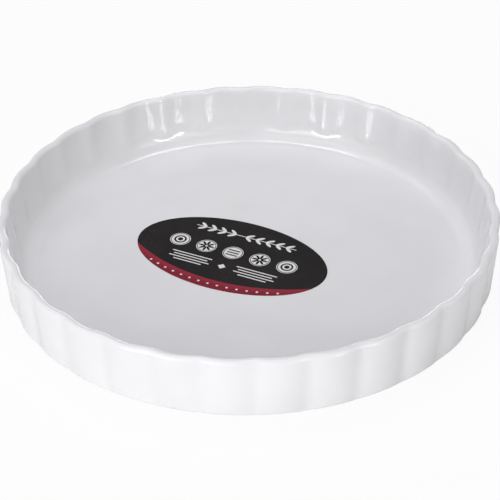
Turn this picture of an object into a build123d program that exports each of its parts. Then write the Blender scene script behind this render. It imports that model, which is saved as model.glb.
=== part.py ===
from build123d import *
import math
import os

# Fluted quiche dish: one fired and glazed casting with an oval paper-and-ink sticker on its floor.
# Millimetres and degrees. The origin is the centre of the foot, +Z is up, and one lobe points along +X.

# Fired body
flute_count = 32
rim_diameter = 290.0        # across two opposite lobes, before the rim is rounded
dish_height = 38.0
flute_depth = 1.5           # from the crest of a lobe to the bottom of a hollow
hollow_radius = 14.0        # round of the hollow between two lobes, on the outside
wall_thickness = 5.0        # at the rim
rim_rounding = 2.4          # leaves a narrow flat along the top
outer_lean = 3.7            # how far the outside opens upwards
inner_lean = 8.0            # how far the inside opens upwards
floor_thickness = 4.0
corner_rounding = 9.0       # tight round between the floor and the inside of the wall
corner_turn = 70.0          # how far that round rises from level
wall_sweep = 30.0           # gentler round from there up into the wall
inner_clearance = 0.2       # how far that turned form stands outside the lobes inside
base_rounding = 5.0         # round under the outer wall
rounding_clearance = 0.5    # how far the base rounding stands outside the lobes that it trims

# Foot, the ring that the dish stands on
foot_width = 6.0
foot_recess = 0.8           # how far the middle of the underside is raised
recess_lean = 40.0          # slope of the step inside the foot
recess_rounding = 0.5

# Sticker, placed by hand on the floor, so neither centred nor square to the dish
label_length = 120.0
label_width = 70.0
label_centre_x = -10.6
label_centre_y = -1.6
label_turn = -21.4
adhesive_thickness = 0.05
film_thickness = 0.15
ink_thickness = 0.03

# Lower band of the sticker, a crescent under one round line
band_chord_share = 0.95     # of the sticker's length, between the points where the line meets its rim
band_sagitta_share = 0.23   # of the sticker's width, how far the line hangs below that chord
band_height_share = 0.115   # of the sticker's width, from the line down to the foot of the oval
print_gap = 0.02            # between the two inks

# Row of round badges
badge_count = 5
badge_diameter = 12.5
badge_pitch = 17.5
badge_row_height = 2.5      # above the middle of the sticker
ring_width = 0.9
ring_gap = 0.9
petal_count = 8
petal_length = 4.3
petal_width = 1.5
petal_start = 0.7
stripe_count = 3
stripe_width = 1.0
stripe_pitch = 2.4
stripe_length = 7.6
target_diameter = 3.2
target_ring_diameter = 7.6
target_ring_width = 1.1

# Leaf garland above the badges
leaf_pairs = 9
leaf_pitch = 6.6
leaf_length = 5.6
leaf_width = 2.0
leaf_lift = 38.0            # angle of a leaf from the stem
stem_height = 20.5          # above the middle of the sticker
stem_width = 0.6

# Plain bars under the badges, and beads along the band
bar_lengths = (26.0, 22.0, 26.0, 18.0)
bar_width = 0.9
bar_pitch = 2.4
bar_block_offset = 21.0     # from the middle of the sticker to the middle of a block of bars
bar_top_depth = 9.0         # below the middle of the sticker
diamond_size = 5.0
bead_count = 15
bead_diameter = 1.5
bead_spacing_share = 0.05   # of the sticker's length

# Cutting bodies reach this far past what they cut
overrun = 2.0

# Worked out from the sizes above
half_step = math.pi / flute_count
rim_mean_radius = rim_diameter / 2 - flute_depth / 2
inner_rim_radius = rim_mean_radius - wall_thickness
inner_hollow_radius = hollow_radius + wall_thickness
outer_slope = math.tan(math.radians(outer_lean))
inner_slope = math.tan(math.radians(inner_lean))
band_chord = label_length * band_chord_share
band_sagitta = label_width * band_sagitta_share
band_height = label_width * band_height_share


def lobe_sizes(mean_radius, depth, hollow):
    """Place, radius and half turn of a lobe's arc that is tangent to the hollows on both sides."""
    crest = mean_radius + depth / 2
    hollow_centre = mean_radius - depth / 2 + hollow
    across = hollow_centre * math.cos(half_step)
    top = crest**2 - 2 * across * crest + hollow_centre**2 - hollow**2
    lobe = top / (2 * (crest - across + hollow))
    lobe_centre = crest - lobe
    half_turn = math.atan2(hollow_centre * math.sin(half_step), across - lobe_centre)
    return lobe_centre, lobe, hollow_centre, half_turn


def on_circle(radius, angle):
    """Point at a polar angle, in degrees."""
    return (radius * math.cos(math.radians(angle)), radius * math.sin(math.radians(angle)))


def scalloped_face(mean_radius, depth, hollow, height):
    """Face with the fluted outline: one arc for each lobe and one for each hollow."""
    lobe_centre, lobe, hollow_centre, half_turn = lobe_sizes(mean_radius, depth, hollow)
    step = 360 / flute_count
    lobe_half = math.degrees(half_turn)
    hollow_half = lobe_half - step / 2
    arcs = []
    for number in range(flute_count):
        at_lobe = number * step
        at_hollow = at_lobe + step / 2
        arcs.append(CenterArc(on_circle(lobe_centre, at_lobe), lobe, at_lobe - lobe_half, 2 * lobe_half))
        start = at_hollow + 180 + hollow_half
        arcs.append(CenterArc(on_circle(hollow_centre, at_hollow), hollow, start, -2 * hollow_half))
    return Pos(0, 0, height) * Face(Wire(arcs))


def arc_step(radius, start, end):
    """Rise and reach of a round, between two slopes in degrees from level."""
    rise = radius * (math.cos(math.radians(start)) - math.cos(math.radians(end)))
    reach = radius * (math.sin(math.radians(end)) - math.sin(math.radians(start)))
    return rise, reach


def outer_form():
    """Fluted outside down to the ground, trimmed to a round foot by a turned form."""
    rim = scalloped_face(rim_mean_radius, flute_depth, hollow_radius, dish_height)
    fluted = extrude(rim, amount=-dish_height, taper=outer_lean)
    crest = rim_diameter / 2 - (dish_height - base_rounding) * outer_slope
    widest = crest + rounding_clearance
    foot_outer = widest - base_rounding
    outside = rim_diameter / 2 + overrun
    above = dish_height + overrun
    under = Line((0, 0), (foot_outer, 0))
    rounding = CenterArc((foot_outer, base_rounding), base_rounding, -90, 90)
    shoulder = Polyline((widest, base_rounding), (outside, base_rounding + overrun), (outside, above))
    lid = Polyline((outside, above), (0, above), (0, 0))
    turned = revolve(Plane.XZ * make_face([under, rounding, *shoulder.edges(), *lid.edges()]), Axis.Z)
    return fluted & turned, foot_outer


def cavity():
    """Fluted inside, trimmed to a round floor corner by a turned form."""
    rim = scalloped_face(inner_rim_radius, flute_depth, inner_hollow_radius, dish_height)
    fluted = extrude(rim, amount=floor_thickness - dish_height, taper=inner_lean)
    steepest = 90 - inner_lean
    corner_rise, corner_reach = arc_step(corner_rounding, 0, corner_turn)
    sweep_rise, sweep_reach = arc_step(wall_sweep, corner_turn, steepest)
    wall_end = floor_thickness + corner_rise + sweep_rise
    widest = inner_rim_radius + flute_depth / 2 + inner_clearance
    bowl_radius = widest - (dish_height - wall_end) * inner_slope
    floor_radius = bowl_radius - sweep_reach - corner_reach
    sweep_centre = (bowl_radius - wall_sweep * math.cos(math.radians(inner_lean)),
                    wall_end + wall_sweep * math.sin(math.radians(inner_lean)))
    above = dish_height + overrun
    outside = widest + overrun * inner_slope
    floor = Line((0, floor_thickness), (floor_radius, floor_thickness))
    corner = CenterArc((floor_radius, floor_thickness + corner_rounding), corner_rounding, -90, corner_turn)
    sweep = CenterArc(sweep_centre, wall_sweep, corner_turn - 90, steepest - corner_turn)
    lid = Polyline((bowl_radius, wall_end), (outside, above), (0, above), (0, floor_thickness))
    turned = revolve(Plane.XZ * make_face([floor, corner, sweep, *lid.edges()]), Axis.Z)
    return fluted & turned


def underside_recess(foot_outer):
    """Shallow hollow that leaves the foot standing proud as a ring."""
    opening = Circle(foot_outer - foot_width)
    hollow = extrude(opening, amount=foot_recess, taper=recess_lean)
    ceiling = hollow.edges().group_by(Axis.Z)[-1]
    return fillet(ceiling, recess_rounding)


def dish_body():
    """The fired casting, with its rim rounded on both sides."""
    outside, foot_outer = outer_form()
    body = outside - cavity() - underside_recess(foot_outer)
    rim_edges = body.edges().group_by(Axis.Z)[-1]
    return fillet(rim_edges, rim_rounding)


def label_oval():
    """Outline of the sticker in its own plane."""
    return Ellipse(label_length / 2, label_width / 2)


def band_line_radius():
    """Radius of the round line between the two inks."""
    return ((band_chord / 2) ** 2 + band_sagitta**2) / (2 * band_sagitta)


def band_line_height():
    """Height of the centre of that line above the middle of the sticker."""
    return band_height - label_width / 2 + band_line_radius()


def upper_field():
    """Part of the oval above the band."""
    return label_oval() & Pos(0, band_line_height()) * Circle(band_line_radius() - print_gap / 2)


def lower_field():
    """The band, a crescent."""
    return label_oval() - Pos(0, band_line_height()) * Circle(band_line_radius() + print_gap / 2)


def petal_mark():
    """Ring of long petals."""
    petal = Pos(petal_start + petal_length / 2, 0) * Ellipse(petal_length / 2, petal_width / 2)
    return Sketch() + [Rot(0, 0, turn * 360 / petal_count) * petal for turn in range(petal_count)]


def stripe_mark():
    """Short round-ended stripes, one above the other."""
    lowest = -(stripe_count - 1) / 2 * stripe_pitch
    stripes = [Pos(0, lowest + number * stripe_pitch) * SlotOverall(stripe_length, stripe_width)
               for number in range(stripe_count)]
    return Sketch() + stripes


def target_mark():
    """Disc inside a ring."""
    ring = Circle(target_ring_diameter / 2) - Circle(target_ring_diameter / 2 - target_ring_width)
    return ring + Circle(target_diameter / 2)


def badge(mark):
    """Clear disc with a printed mark and a thin clear ring round it."""
    edge = Circle(badge_diameter / 2) - Circle(badge_diameter / 2 - ring_width / 2)
    disc = Circle(badge_diameter / 2 - ring_width / 2 - ring_gap / 2) - mark
    return edge + disc


def badge_row():
    """Badges side by side, with the marks in turn."""
    marks = [stripe_mark(), petal_mark(), target_mark()]
    badges = Sketch()
    for number in range(badge_count):
        place = number - (badge_count - 1) / 2
        mark = marks[abs(round(place)) % len(marks)]
        badges += Pos(place * badge_pitch, badge_row_height) * badge(mark)
    return badges


def garland():
    """Straight stem with pairs of leaves that all lean outwards from the middle."""
    span = (leaf_pairs + 1) * leaf_pitch
    plant = Sketch() + Pos(0, stem_height) * Rectangle(span, stem_width)
    for number in range(leaf_pairs):
        place = number - (leaf_pairs - 1) / 2
        outwards = 0 if place >= 0 else 180
        for side in (-1, 1):
            leaf = Pos(leaf_length / 2, 0) * Ellipse(leaf_length / 2, leaf_width / 2)
            lean = outwards + side * leaf_lift
            plant += Pos(place * leaf_pitch, stem_height) * Rot(0, 0, lean) * leaf
    return plant


def bar_blocks():
    """A block of plain bars on each side, with a diamond between them."""
    marks = Sketch()
    for side in (-1, 1):
        for number, length in enumerate(bar_lengths):
            height = -bar_top_depth - number * bar_pitch
            marks += Pos(side * bar_block_offset, height) * Rectangle(length, bar_width)
    middle = -bar_top_depth - (len(bar_lengths) - 1) / 2 * bar_pitch
    return marks + Pos(0, middle) * RegularPolygon(diamond_size / 2, 4)


def bead_line():
    """Beads along the middle of the band."""
    radius = band_line_radius() + band_height / 2
    turn = math.degrees(label_length * bead_spacing_share / radius)
    beads = Sketch()
    for number in range(bead_count):
        angle = 270 + (number - (bead_count - 1) / 2) * turn
        across, down = on_circle(radius, angle)
        beads += Pos(across, band_line_height() + down) * Circle(bead_diameter / 2)
    return beads


def on_floor(layer, height):
    """Move a flat layer of the sticker from its own plane to its place on the floor."""
    return Pos(label_centre_x, label_centre_y, floor_thickness + height) * Rot(0, 0, label_turn) * layer


def label_adhesive():
    return on_floor(extrude(label_oval(), amount=adhesive_thickness), 0)


def label_film():
    return on_floor(extrude(label_oval(), amount=film_thickness), adhesive_thickness)


def label_black_print():
    """Dark ink over the upper field; the marks are left clear, so the film shows through."""
    clear = badge_row() + garland() + bar_blocks()
    ink = extrude(upper_field() - clear, amount=ink_thickness)
    return on_floor(ink, adhesive_thickness + film_thickness)


def label_red_print():
    """Red ink over the band, with clear beads."""
    ink = extrude(lower_field() - bead_line(), amount=ink_thickness)
    return on_floor(ink, adhesive_thickness + film_thickness)


def write(node, shape):
    export_step(Compound(children=shape.solids(), label=node), os.path.join("parts", node + ".step"))
    print(node, len(shape.solids()), "solids", round(shape.volume, 1), "mm3")


os.makedirs("parts", exist_ok=True)
write("dish_body", dish_body())
write("label_adhesive", label_adhesive())
write("label_film", label_film())
write("label_black_print", label_black_print())
write("label_red_print", label_red_print())
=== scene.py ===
import math

import bpy
import numpy as np
from mathutils import Matrix, Vector


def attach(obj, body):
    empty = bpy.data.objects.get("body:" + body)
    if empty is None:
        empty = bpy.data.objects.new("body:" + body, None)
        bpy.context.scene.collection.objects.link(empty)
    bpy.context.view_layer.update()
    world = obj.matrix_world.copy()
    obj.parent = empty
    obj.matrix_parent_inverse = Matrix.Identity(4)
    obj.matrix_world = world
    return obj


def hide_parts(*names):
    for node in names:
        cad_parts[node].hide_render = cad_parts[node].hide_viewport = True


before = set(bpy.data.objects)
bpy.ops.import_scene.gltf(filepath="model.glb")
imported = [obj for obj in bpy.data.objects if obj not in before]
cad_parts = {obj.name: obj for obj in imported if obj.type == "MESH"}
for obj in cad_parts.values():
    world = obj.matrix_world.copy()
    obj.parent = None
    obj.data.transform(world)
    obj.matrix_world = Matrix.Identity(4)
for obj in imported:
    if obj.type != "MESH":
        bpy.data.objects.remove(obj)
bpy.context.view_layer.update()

# Lengths are in metres. A length in millimetres is written as a number times MM.
MM = 0.001

# Fired body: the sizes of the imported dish, with slightly larger rounds inside
FLUTES = 32
RIM_DIAMETER = 289.95 * MM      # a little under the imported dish, so that this stays in its box
HEIGHT = 38.0 * MM
FLUTE_DEPTH = 1.5 * MM
HOLLOW_RADIUS = 14.0 * MM
WALL = 5.0 * MM
RIM_ROUNDING = 2.4 * MM
OUTER_LEAN = math.radians(3.7)
INNER_LEAN = math.radians(8.0)
FLOOR = 4.0 * MM
CORNER_ROUNDING = 11.5 * MM     # tight round between the floor and the inside of the wall
CORNER_TURN = math.radians(61.0)    # how far up it goes before the gentler round takes over
WALL_SWEEP = 32.0 * MM          # gentler round from there up into the wall
INNER_CLEARANCE = 0.2 * MM
BASE_ROUNDING = 5.0 * MM
ROUNDING_CLEARANCE = 0.5 * MM
FOOT_WIDTH = 6.0 * MM
FOOT_RECESS = 0.8 * MM
RECESS_LEAN = math.radians(40.0)

# How the glaze softens the fired body
BASE_SOFTENING = 0.6 * MM       # width over which the flutes melt into the base rounding
BOWL_SOFTENING = 1.6 * MM       # width over which they melt into the corner inside
FOOT_EDGE = 0.35 * MM           # round on the edges of the foot
DEPTH_VARIATION = 0.05          # share by which some flutes are shallower than others
DEPTH_WAVES = ((3, 1.0), (7, 0.0))  # count and phase of the waves that spread this round the dish
RIM_VARIATION = 0.12 * MM       # how far the rim dips along its round
RIM_WAVES = ((2, 0.7), (5, 0.4))

# How finely the surface is divided
STEPS_PER_FLUTE = 24
ROUNDING_STEPS = 10
WALL_STEPS = 16
FLOOR_STEPS = 9
UNDERSIDE_SHARES = (0.12, 0.3, 0.5, 0.7, 0.85, 0.94, 0.98)  # of the radius of the flat underside

# Sizes that follow from those above
AROUND = FLUTES * STEPS_PER_FLUTE
HALF_STEP = math.pi / FLUTES
RIM_RADIUS = RIM_DIAMETER / 2 - FLUTE_DEPTH / 2
INNER_RADIUS = RIM_RADIUS - WALL
WALL_TURN = math.pi / 2 - INNER_LEAN
CORNER_RISE = CORNER_ROUNDING * (1 - math.cos(CORNER_TURN))
CORNER_REACH = CORNER_ROUNDING * math.sin(CORNER_TURN)
SWEEP_RISE = WALL_SWEEP * (math.cos(CORNER_TURN) - math.cos(WALL_TURN))
SWEEP_REACH = WALL_SWEEP * (math.sin(WALL_TURN) - math.sin(CORNER_TURN))
WALL_END = FLOOR + CORNER_RISE + SWEEP_RISE
BOWL_TOP = INNER_RADIUS + FLUTE_DEPTH / 2 + INNER_CLEARANCE
BOWL_RADIUS = BOWL_TOP - (HEIGHT - WALL_END) * math.tan(INNER_LEAN)
FLOOR_RADIUS = BOWL_RADIUS - SWEEP_REACH - CORNER_REACH
WIDEST = RIM_DIAMETER / 2 - (HEIGHT - BASE_ROUNDING) * math.tan(OUTER_LEAN) + ROUNDING_CLEARANCE
FOOT_OUTER = WIDEST - BASE_ROUNDING
FOOT_INNER = FOOT_OUTER - FOOT_WIDTH

# Camera, as fitted to the rim, the foot and the floor in the photograph
CAMERA_AZIMUTH = math.radians(-85.27)
CAMERA_ELEVATION = math.radians(33.32)
CAMERA_DISTANCE = 0.934
CAMERA_ROLL = -0.0146           # radians
AIM_DOWN = math.radians(1.554)
AIM_RIGHT = math.radians(0.035)
LENS = 116.2                    # millimetres, as Blender takes it
SENSOR = 36.0                   # millimetres


def towards(azimuth, elevation):
    """Unit vector at an azimuth from +X and an elevation, both in radians."""
    out = math.cos(elevation)
    return Vector((out * math.cos(azimuth), out * math.sin(azimuth), math.sin(elevation)))


def link(ob):
    """Puts the object into the scene and returns it."""
    bpy.context.scene.collection.objects.link(ob)
    return ob


def camera():
    """Camera at the place, aim and roll that were fitted to the photograph."""
    data = bpy.data.cameras.new("camera")
    data.lens = LENS
    data.sensor_width = SENSOR
    ob = link(bpy.data.objects.new("camera", data))
    look = -towards(CAMERA_AZIMUTH - AIM_RIGHT, CAMERA_ELEVATION + AIM_DOWN)
    right = look.cross(Vector((0, 0, 1))).normalized()
    up = right.cross(look)
    turned_right = math.cos(CAMERA_ROLL) * right + math.sin(CAMERA_ROLL) * up
    turned_up = math.cos(CAMERA_ROLL) * up - math.sin(CAMERA_ROLL) * right
    ob.matrix_world = Matrix((turned_right, turned_up, -look)).transposed().to_4x4()
    place = Vector((0, 0, HEIGHT)) + CAMERA_DISTANCE * towards(CAMERA_AZIMUTH, CAMERA_ELEVATION)
    ob.matrix_world.translation = place
    bpy.context.scene.camera = ob


# Polar angles of the surface's columns, and each one's angle from the nearest lobe
angles = np.arange(AROUND) * 2 * math.pi / AROUND
from_lobe = np.abs((angles + HALF_STEP) % (2 * HALF_STEP) - HALF_STEP)


def unevenness(waves):
    """A value from 0 to 1 for each column, from two waves, each with its count and phase."""
    (count, phase), (other_count, other_phase) = waves
    return 0.5 + 0.5 * np.sin(count * angles + phase) * np.sin(other_count * angles + other_phase)


def fluted_line(inward):
    """Radius, column by column, of the scalloped line this far inward from the rim's outline."""
    # Arcs of the lobes and the hollows, which meet without a corner
    crest = RIM_RADIUS + FLUTE_DEPTH / 2
    hollow_centre = RIM_RADIUS - FLUTE_DEPTH / 2 + HOLLOW_RADIUS
    across = hollow_centre * math.cos(HALF_STEP)
    top = crest**2 - 2 * across * crest + hollow_centre**2 - HOLLOW_RADIUS**2
    lobe = top / (2 * (crest - across + HOLLOW_RADIUS))
    lobe_centre = crest - lobe
    turn = math.atan2(hollow_centre * math.sin(HALF_STEP), across - lobe_centre)
    # Moved inward, the lobes' arcs shrink and the hollows' arcs grow
    lobe -= inward
    hollow = HOLLOW_RADIUS + inward
    meeting = math.atan2(lobe * math.sin(turn), lobe_centre + lobe * math.cos(turn))
    on_lobe = from_lobe < meeting
    a = np.where(on_lobe, from_lobe, 0)
    b = np.where(on_lobe, 0, HALF_STEP - from_lobe)
    lobes = lobe_centre * np.cos(a) + np.sqrt(lobe**2 - (lobe_centre * np.sin(a)) ** 2)
    hollows = hollow_centre * np.cos(b) - np.sqrt(hollow**2 - (hollow_centre * np.sin(b)) ** 2)
    line = np.where(on_lobe, lobes, hollows)
    softened = (np.roll(line, 1) + 2 * line + np.roll(line, -1)) / 4
    mean = RIM_RADIUS - inward
    shallow = 1 - DEPTH_VARIATION * unevenness(DEPTH_WAVES)
    return mean + (softened - mean) * shallow


def level(radius):
    """The same radius in every column."""
    return np.full(AROUND, radius)


def melted(fluted, turned, width):
    """The smaller of two radii, with the edge where they meet rounded over this width."""
    gap = np.clip((width - np.abs(fluted - turned)) / width, 0, 1)
    return np.minimum(fluted, turned) - gap**2 * width / 4


def underside_rows():
    """From near the middle of the underside out to the edge of the foot."""
    slope = FOOT_RECESS * math.tan(RECESS_LEAN)
    ceiling_edge = FOOT_INNER - slope
    rows = [(level(ceiling_edge * share), level(FOOT_RECESS)) for share in UNDERSIDE_SHARES]
    for step in range(ROUNDING_STEPS + 1):
        t = step / ROUNDING_STEPS
        fall = t * t * (3 - 2 * t)
        radius = ceiling_edge - slope + (2 * slope + FOOT_EDGE) * t
        rows.append((level(radius), level(FOOT_RECESS * (1 - fall))))
    return rows


def base_rows():
    """Under the foot and up the base rounding, where the flutes start."""
    rows = [(level(FOOT_OUTER - FOOT_WIDTH / 2), level(0.0))]
    for step in range(ROUNDING_STEPS + 1):
        t = math.pi / 2 * step / ROUNDING_STEPS
        height = BASE_ROUNDING * (1 - math.cos(t))
        turned = FOOT_OUTER + BASE_ROUNDING * math.sin(t)
        fluted = fluted_line((HEIGHT - height) * math.tan(OUTER_LEAN))
        rows.append((melted(fluted, turned, BASE_SOFTENING), level(height)))
    return rows


def outer_wall_rows():
    """Up the outside, from the base rounding to the rim."""
    start = BASE_ROUNDING
    end = HEIGHT - RIM_ROUNDING * (1 + math.sin(OUTER_LEAN))
    rows = []
    for step in range(1, WALL_STEPS):
        height = start + (end - start) * step / WALL_STEPS
        rows.append((fluted_line((HEIGHT - height) * math.tan(OUTER_LEAN)), level(height)))
    return rows


def rim_dip():
    """How far the rim lies under its full height, column by column."""
    return RIM_VARIATION * unevenness(RIM_WAVES)


def rim_rows():
    """Over the rim, from the outer wall to the inner one."""
    middle = HEIGHT - RIM_ROUNDING
    outer_place = RIM_ROUNDING * (1 + math.sin(OUTER_LEAN)) / math.cos(OUTER_LEAN)
    top = fluted_line(WALL)
    inner_place = top - RIM_ROUNDING * math.tan(INNER_LEAN) + RIM_ROUNDING / math.cos(INNER_LEAN)
    rows = []
    for step in range(ROUNDING_STEPS + 1):
        turn = -OUTER_LEAN + (math.pi / 2 + OUTER_LEAN) * step / ROUNDING_STEPS
        inward = outer_place - RIM_ROUNDING * math.cos(turn)
        rise = RIM_ROUNDING * math.sin(turn)
        share = max(rise, 0) / RIM_ROUNDING
        rows.append((fluted_line(inward), middle + rise - rim_dip() * share))
    for step in range(ROUNDING_STEPS + 1):
        turn = math.pi / 2 + (INNER_LEAN - math.pi / 2) * step / ROUNDING_STEPS
        rise = RIM_ROUNDING * math.sin(turn)
        share = rise / RIM_ROUNDING
        radius = inner_place - RIM_ROUNDING * math.cos(turn)
        rows.append((radius, middle + rise - rim_dip() * share))
    return rows


def inner_wall_rows():
    """Down the inside to where the wall starts to round in."""
    start = HEIGHT - RIM_ROUNDING
    rows = []
    for step in range(1, WALL_STEPS):
        share = step / WALL_STEPS
        height = start + (WALL_END - start) * share
        fluted = fluted_line(WALL + (HEIGHT - height) * math.tan(INNER_LEAN))
        turned = BOWL_TOP - (HEIGHT - height) * math.tan(INNER_LEAN)
        rows.append((melted(fluted, turned, BOWL_SOFTENING * share), level(height)))
    return rows


def rounded_row(radius, height):
    """The turned round at this radius and height, cut back by the flutes."""
    fluted = fluted_line(WALL + (HEIGHT - height) * math.tan(INNER_LEAN))
    return melted(fluted, radius, BOWL_SOFTENING), level(height)


def bowl_rows():
    """Down the two rounds, where the flutes end, and over the floor to near its middle."""
    rows = []
    for step in range(ROUNDING_STEPS):
        turn = WALL_TURN + (CORNER_TURN - WALL_TURN) * step / ROUNDING_STEPS
        radius = BOWL_RADIUS - WALL_SWEEP * (math.sin(WALL_TURN) - math.sin(turn))
        height = WALL_END - WALL_SWEEP * (math.cos(turn) - math.cos(WALL_TURN))
        rows.append(rounded_row(radius, height))
    for step in range(WALL_STEPS + 1):
        turn = CORNER_TURN * (1 - step / WALL_STEPS)
        radius = FLOOR_RADIUS + CORNER_ROUNDING * math.sin(turn)
        rows.append(rounded_row(radius, FLOOR + CORNER_ROUNDING * (1 - math.cos(turn))))
    for step in range(1, FLOOR_STEPS):
        rows.append((level(FLOOR_RADIUS * (1 - step / FLOOR_STEPS)), level(FLOOR)))
    return rows


def dish():
    """The glazed dish as one closed surface of rings, from under its middle round to its floor."""
    rows = underside_rows() + base_rows() + outer_wall_rows()
    rows += rim_rows() + inner_wall_rows() + bowl_rows()
    points = [np.array([[0.0, 0.0, FOOT_RECESS]])]
    for radius, height in rows:
        points.append(np.column_stack((radius * np.cos(angles), radius * np.sin(angles), height)))
    points.append(np.array([[0.0, 0.0, FLOOR]]))
    faces = []
    last = 1 + len(rows) * AROUND
    for column in range(AROUND):
        after = (column + 1) % AROUND
        faces.append((0, 1 + after, 1 + column))
        for row in range(len(rows) - 1):
            low = 1 + row * AROUND
            high = low + AROUND
            faces.append((low + column, low + after, high + after, high + column))
        faces.append((last - AROUND + column, last - AROUND + after, last))
    mesh = bpy.data.meshes.new("dish")
    mesh.from_pydata(np.concatenate(points).tolist(), [], faces)
    mesh.shade_smooth()
    mesh.materials.append(glaze())
    ob = link(bpy.data.objects.new("dish", mesh))
    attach(ob, "root")
    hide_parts("dish_body")


def connect(value, socket):
    """Links an output to an input, or gives the input a plain value."""
    if isinstance(value, bpy.types.NodeSocket):
        socket.id_data.links.new(value, socket)
    else:
        socket.default_value = value


def set_inputs(node, inputs):
    """Sets or links a node's inputs, whose names have _ here in place of a space."""
    for key, value in inputs.items():
        connect(value, node.inputs[key.replace("_", " ")])


def adder(tree):
    """Function that adds a node to this tree, with its settings and inputs, and returns it."""

    def add(kind, settings=None, **inputs):
        node = tree.nodes.new(kind)
        for key, value in (settings or {}).items():
            setattr(node, key, value)
        set_inputs(node, inputs)
        return node

    return add


def material(name):
    """New material, a function that adds nodes to it and one that sets its shader's inputs."""
    made = bpy.data.materials.new(name)
    made.use_nodes = True
    shader = made.node_tree.nodes["Principled BSDF"]

    def set_shader(**inputs):
        set_inputs(shader, inputs)

    return made, adder(made.node_tree), set_shader


# Ranges of a noise over which a pattern changes from one state to the other
SOFT = (0.35, 0.65)
WIDE = (0.3, 0.7)
RISING = (0.0, 1.0)
FALLING = (1.0, 0.0)

# Places of the sockets of a colour mix
MIX_SHARE, MIX_FIRST, MIX_SECOND, MIX_RESULT = 0, 6, 7, 2


def noise(add, place, pattern):
    """Smooth noise from 0 to 1. A pattern is the width of its features and its finer detail."""
    size, detail = pattern
    return add("ShaderNodeTexNoise", Vector=place, Scale=1 / size, Detail=detail).outputs["Fac"]


def between(add, value, span, result=RISING):
    """The value, moved from one range to another and held inside it."""
    settings = {"interpolation_type": "SMOOTHSTEP"}
    return add("ShaderNodeMapRange", settings, Value=value, From_Min=span[0], From_Max=span[1],
               To_Min=result[0], To_Max=result[1]).outputs["Result"]


def blend(add, share, first, second):
    """One colour going over into another."""
    node = add("ShaderNodeMix", {"data_type": "RGBA"})
    connect(share, node.inputs[MIX_SHARE])
    for value, place in ((first, MIX_FIRST), (second, MIX_SECOND)):
        linked = isinstance(value, bpy.types.NodeSocket)
        connect(value if linked else (*value, 1), node.inputs[place])
    return node.outputs[MIX_RESULT]


def maths(add, operation, first, second):
    """Result of an operation on two values."""
    node = add("ShaderNodeMath", {"operation": operation})
    for value, socket in zip((first, second), node.inputs):
        connect(value, socket)
    return node.outputs["Value"]


def bump(add, height, depth, under=None):
    """Normal of a surface whose height varies by this many metres."""
    inputs = {"Height": height, "Distance": depth, "Strength": 1.0}
    if under is not None:
        inputs["Normal"] = under
    return add("ShaderNodeBump", **inputs).outputs["Normal"]


# Glaze and bare foot
GLAZE_CLEAR = (0.816, 0.816, 0.830)
GLAZE_CLOUD = (0.792, 0.792, 0.806)
SPECK = (0.42, 0.36, 0.30)
BISCUIT = (0.62, 0.575, 0.51)
BISCUIT_DARK = (0.50, 0.45, 0.385)

CLOUDS = (45 * MM, 3.0)
SHEEN = (30 * MM, 4.0)
GLAZE_ROUGHNESS = (0.045, 0.085)
RIPPLE = (16 * MM, 1.0)
RIPPLE_DEPTH = 0.05 * MM
FINE_RIPPLE = (2.5 * MM, 1.0)
FINE_RIPPLE_DEPTH = 0.0012 * MM

SPECK_SPACING = 11 * MM
SPECK_CHANCE = (0.955, 0.96)    # only the cells whose random number is above this have a speck
SPECK_EDGE = (0.010, 0.022)     # where a speck fades out, in spacings from its middle

BARE_EDGE = (0.38 * MM, 0.46 * MM)  # height at which the bare foot goes over into glaze
WANDER = (5 * MM, 2.0)
WANDER_HEIGHT = 0.4 * MM        # how far that edge wanders
GRIT = (0.6 * MM, 4.0)
GRIT_RANGE = (0.4, 0.6)
GRIT_DEPTH = 0.06 * MM
BARE_ROUGHNESS = 0.7            # by how much the bare foot is rougher than the glaze


def glaze():
    """White gloss glaze, faintly clouded and rippled, with rare specks and a bare foot."""
    made, add, set_shader = material("white_glaze")
    place = add("ShaderNodeTexCoord").outputs["Object"]
    cloud = between(add, noise(add, place, CLOUDS), SOFT)
    colour = blend(add, cloud, GLAZE_CLOUD, GLAZE_CLEAR)
    cells = add("ShaderNodeTexVoronoi", {"feature": "F1"}, Vector=place, Scale=1 / SPECK_SPACING)
    chance = add("ShaderNodeSeparateColor", Color=cells.outputs["Color"]).outputs["Red"]
    rare = between(add, chance, SPECK_CHANCE)
    dot = between(add, cells.outputs["Distance"], SPECK_EDGE, FALLING)
    speck = maths(add, "MULTIPLY", rare, dot)
    colour = blend(add, speck, colour, SPECK)

    height = add("ShaderNodeSeparateXYZ", Vector=place).outputs["Z"]
    wander = maths(add, "MULTIPLY", noise(add, place, WANDER), WANDER_HEIGHT)
    bare = between(add, maths(add, "ADD", height, wander), BARE_EDGE, FALLING)
    grit = noise(add, place, GRIT)
    biscuit = blend(add, between(add, grit, GRIT_RANGE), BISCUIT_DARK, BISCUIT)
    colour = blend(add, bare, colour, biscuit)

    sheen = between(add, noise(add, place, SHEEN), WIDE, GLAZE_ROUGHNESS)
    dull = maths(add, "MULTIPLY", bare, BARE_ROUGHNESS)
    ripple = bump(add, noise(add, place, RIPPLE), RIPPLE_DEPTH)
    ripple = bump(add, noise(add, place, FINE_RIPPLE), FINE_RIPPLE_DEPTH, ripple)
    rough = bump(add, maths(add, "MULTIPLY", grit, bare), GRIT_DEPTH, ripple)
    set_shader(Base_Color=colour, Roughness=maths(add, "ADD", sheen, dull), Normal=rough)
    return made


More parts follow.
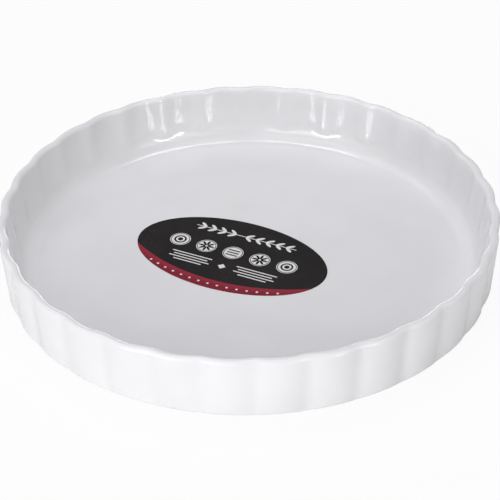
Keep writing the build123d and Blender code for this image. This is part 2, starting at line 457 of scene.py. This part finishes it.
# Sticker: where it lies, and the round line between its two inks
LABEL_LENGTH = 120.0 * MM
LABEL_WIDTH = 70.0 * MM
LABEL_CENTRE = (-10.6 * MM, -1.6 * MM, 0.0)
LABEL_TURN = math.radians(-21.4)
BAND_CHORD = 0.95 * LABEL_LENGTH
BAND_SAGITTA = 0.23 * LABEL_WIDTH
BAND_HEIGHT = 0.115 * LABEL_WIDTH
BAND_RADIUS = ((BAND_CHORD / 2) ** 2 + BAND_SAGITTA**2) / (2 * BAND_SAGITTA)
BAND_CENTRE = (0.0, BAND_HEIGHT - LABEL_WIDTH / 2 + BAND_RADIUS, 0.0)

FILM = (0.80, 0.80, 0.79)
FILM_SHADE = (0.74, 0.74, 0.725)
FILM_GRAIN = (2.0 * MM, 4.0)
FILM_ROUGHNESS = 0.38
FILM_GLOSS = 0.35
TOOTH = (1.2 * MM, 3.0)
TOOTH_DEPTH = 0.006 * MM
WAVES = (18 * MM, 1.0)
WAVES_DEPTH = 0.05 * MM

BLACK = (0.0105, 0.0090, 0.0095)
BLACK_WORN = (0.0240, 0.0210, 0.0215)
BLACK_SHEEN = (6 * MM, 3.0)
BLACK_ROUGHNESS = (0.34, 0.44)
BLACK_GLOSS = 0.05
WORN_SPOTS = (0.8 * MM, 4.0)
WORN_SPOTS_RANGE = (0.42, 0.70)
WORN_PATCHES = (22 * MM, 2.0)
WORN_PATCHES_RANGE = (0.35, 0.70)

# Red ink: the lighter crimson by the round line is ink with a painted sheen on it, and the deep
# crimson lower down is the ink itself
CRIMSON_INK_AND_SHEEN = (0.290, 0.0180, 0.0400)
CRIMSON_DEEP = (0.190, 0.0080, 0.0230)
RED_WANDER = (9 * MM, 2.0)
RED_WANDER_REACH = 0.3 * BAND_HEIGHT
# Distance below the round line over which the painted sheen gives way to the deeper ink
RED_SHEEN_TO_DEEP = (0.35 * BAND_HEIGHT, 0.75 * BAND_HEIGHT)  # how far below the round line
RED_GRAIN = (1.0 * MM, 4.0)
RED_GRAIN_SHARE = 0.35
RED_ROUGHNESS = 0.34
RED_GLOSS = 0.08

ADHESIVE = (0.66, 0.63, 0.54)
ADHESIVE_CLOUDS = (3 * MM, 3.0)
ADHESIVE_ROUGHNESS = 0.5
ADHESIVE_DEPTH = 0.01 * MM


def on_label(add):
    """Coordinates in the sticker's own plane, from its middle."""
    place = add("ShaderNodeTexCoord").outputs["Object"]
    mapping = add("ShaderNodeMapping", {"vector_type": "TEXTURE"}, Vector=place,
                  Location=LABEL_CENTRE, Rotation=(0.0, 0.0, LABEL_TURN))
    return mapping.outputs["Vector"]


def paper(add, place):
    """Faint tooth and waves of coated paper."""
    tooth = bump(add, noise(add, place, TOOTH), TOOTH_DEPTH)
    return bump(add, noise(add, place, WAVES), WAVES_DEPTH, tooth)


def film_finish():
    """White coated paper with a faint grain."""
    made, add, set_shader = material("white_film")
    place = on_label(add)
    shade = between(add, noise(add, place, FILM_GRAIN), SOFT)
    set_shader(Base_Color=blend(add, shade, FILM_SHADE, FILM), Roughness=FILM_ROUGHNESS,
               Normal=paper(add, place), Specular_IOR_Level=FILM_GLOSS)
    return made


def black_finish():
    """Dark ink, a little worn and dusty in fine spots."""
    made, add, set_shader = material("black_ink")
    place = on_label(add)
    spots = between(add, noise(add, place, WORN_SPOTS), WORN_SPOTS_RANGE)
    patches = between(add, noise(add, place, WORN_PATCHES), WORN_PATCHES_RANGE)
    worn = maths(add, "MULTIPLY", spots, patches)
    sheen = between(add, noise(add, place, BLACK_SHEEN), WIDE, BLACK_ROUGHNESS)
    set_shader(Base_Color=blend(add, worn, BLACK, BLACK_WORN), Roughness=sheen,
               Normal=paper(add, place), Specular_IOR_Level=BLACK_GLOSS)
    return made


def red_finish():
    """Crimson ink with a painted sheen, lighter along the line where it meets the dark ink and
    deeper below.
    """
    made, add, set_shader = material("red_ink")
    place = on_label(add)
    reach = add("ShaderNodeVectorMath", {"operation": "DISTANCE"})
    for value, socket in zip((place, BAND_CENTRE), reach.inputs):
        connect(value, socket)
    below = maths(add, "SUBTRACT", reach.outputs["Value"], BAND_RADIUS)
    wander = maths(add, "MULTIPLY", noise(add, place, RED_WANDER), RED_WANDER_REACH)
    # Painted sheen: the ink is lighter near the round line and deepens below it
    depth = between(add, maths(add, "ADD", below, wander), RED_SHEEN_TO_DEEP)
    grain = between(add, noise(add, place, RED_GRAIN), SOFT)
    grain = maths(add, "ADD", maths(add, "MULTIPLY", grain, RED_GRAIN_SHARE), 1 - RED_GRAIN_SHARE)
    share = maths(add, "MULTIPLY", depth, grain)
    set_shader(Base_Color=blend(add, share, CRIMSON_INK_AND_SHEEN, CRIMSON_DEEP), Roughness=RED_ROUGHNESS,
               Normal=paper(add, place), Specular_IOR_Level=RED_GLOSS)
    return made


def adhesive_finish():
    """Yellowish adhesive, a little clouded."""
    made, add, set_shader = material("adhesive")
    place = on_label(add)
    shade = noise(add, place, ADHESIVE_CLOUDS)
    set_shader(Base_Color=blend(add, shade, ADHESIVE, FILM), Roughness=ADHESIVE_ROUGHNESS,
               Normal=bump(add, shade, ADHESIVE_DEPTH))
    return made


def label():
    """The sticker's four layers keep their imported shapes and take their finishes."""
    finishes = {
        "label_adhesive": adhesive_finish(),
        "label_film": film_finish(),
        "label_black_print": black_finish(),
        "label_red_print": red_finish(),
    }
    for node, finish in finishes.items():
        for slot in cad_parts[node].material_slots:
            slot.material = finish


def seen_directly(add, in_gloss):
    """1 for what the camera sees itself or through glass, in_gloss for what a gloss mirrors,
    and 0 for what lights the object."""
    path = add("ShaderNodeLightPath").outputs
    straight = maths(add, "MAXIMUM", path["Is Camera Ray"], path["Is Transmission Ray"])
    mirrored = maths(add, "MULTIPLY", path["Is Glossy Ray"], in_gloss)
    return maths(add, "MAXIMUM", straight, mirrored)


# Studio: floor, world and lamps
WHITE = (1, 1, 1, 1)
FLOOR_SIZE = 20.0
FLOOR_COLOUR = (0.9, 0.9, 0.9, 1)
FLOOR_ROUGHNESS = 0.9
FLOOR_WHITE_SHARE = 0.92        # how much of the floor that the camera sees is plain white
FLOOR_IN_GLOSS = 0.20           # how much of that white shows in the glaze's reflections
WORLD_IN_GLOSS = 1.0
AMBIENT = 0.16                  # strength of the world's light on the object

# Soft lamps on a sphere round the dish. For each, its azimuth and elevation in degrees, its
# width and height in metres, and its level.
LAMP_DISTANCE = 2.0
LAMP_POWER = 4                  # watts for each square metre of a lamp at level 1
LAMPS = {
    "front_edge": (-120, 1.5, 1.0, 0.10, 22.6),
    "front_left": (-112, 30, 1.0, 0.70, 2.3),
    "left": (-135, 30, 1.2, 0.70, 0.36),
    "front_right": (-45, 30, 1.2, 0.70, 1.15),
    "key_left": (-126.5, 17, 0.40, 0.34, 10.5),
    "key_right": (-46.5, 17, 0.40, 0.34, 10.5),
    "left_over": (180, 60, 1.2, 0.90, 0.6),
    "front_over": (-120, 60, 1.2, 0.90, 0.7),
    "back_over": (120, 60, 1.2, 0.90, 0.74),
    "top": (-90, 85, 1.2, 1.0, 0.58),
    "top_back": (90, 73, 1.2, 0.40, 1.3),
    "top_over": (90, 66, 0.90, 0.35, 3.9),
    "back_low": (90, 9, 1.0, 0.35, 4.5),
}
COOL_LAMPS = ("left_over", "front_over", "back_over", "top", "top_back", "top_over")
COOL = (0.990, 0.985, 1.030)


def stage_floor():
    """Pale floor that the camera sees as nearly white, with the object's shadow on it."""
    half = FLOOR_SIZE / 2
    corners = [(-half, -half, 0), (half, -half, 0), (half, half, 0), (-half, half, 0)]
    mesh = bpy.data.meshes.new("studio_floor")
    mesh.from_pydata(corners, [], [(0, 1, 2, 3)])
    ob = link(bpy.data.objects.new("studio_floor", mesh))
    made, add, set_shader = material("studio_floor")
    set_shader(Base_Color=FLOOR_COLOUR, Roughness=FLOOR_ROUGHNESS, Specular_IOR_Level=0.0)
    nodes = made.node_tree.nodes
    white = add("ShaderNodeEmission", Color=WHITE, Strength=1.0)
    share = maths(add, "MULTIPLY", seen_directly(add, FLOOR_IN_GLOSS), FLOOR_WHITE_SHARE)
    mixed = add("ShaderNodeMixShader", Fac=share)
    lit_socket, white_socket = mixed.inputs[1:]
    connect(nodes["Principled BSDF"].outputs["BSDF"], lit_socket)
    connect(white.outputs["Emission"], white_socket)
    connect(mixed.outputs["Shader"], nodes["Material Output"].inputs["Surface"])
    mesh.materials.append(made)


def studio_lamps():
    """Rectangular lamps that face the dish."""
    for name, (azimuth, elevation, width, height, level_of_light) in LAMPS.items():
        data = bpy.data.lights.new(name, "AREA")
        data.shape = "RECTANGLE"
        data.size = width
        data.size_y = height
        data.energy = level_of_light * LAMP_POWER * width * height
        if name in COOL_LAMPS:
            data.color = COOL
        ob = link(bpy.data.objects.new(name, data))
        out = towards(math.radians(azimuth), math.radians(elevation))
        ob.location = LAMP_DISTANCE * out
        ob.rotation_euler = out.to_track_quat("Z", "Y").to_euler()


def studio_world():
    """White where it is seen, with a low even light on the object."""
    world = bpy.data.worlds.new("studio")
    bpy.context.scene.world = world
    world.use_nodes = True
    add = adder(world.node_tree)
    strength = maths(add, "MAXIMUM", seen_directly(add, WORLD_IN_GLOSS), AMBIENT)
    set_inputs(world.node_tree.nodes["Background"], {"Color": WHITE, "Strength": strength})


camera()
dish()
label()
stage_floor()
studio_lamps()
studio_world()
bpy.context.scene.view_settings.view_transform = "Standard"
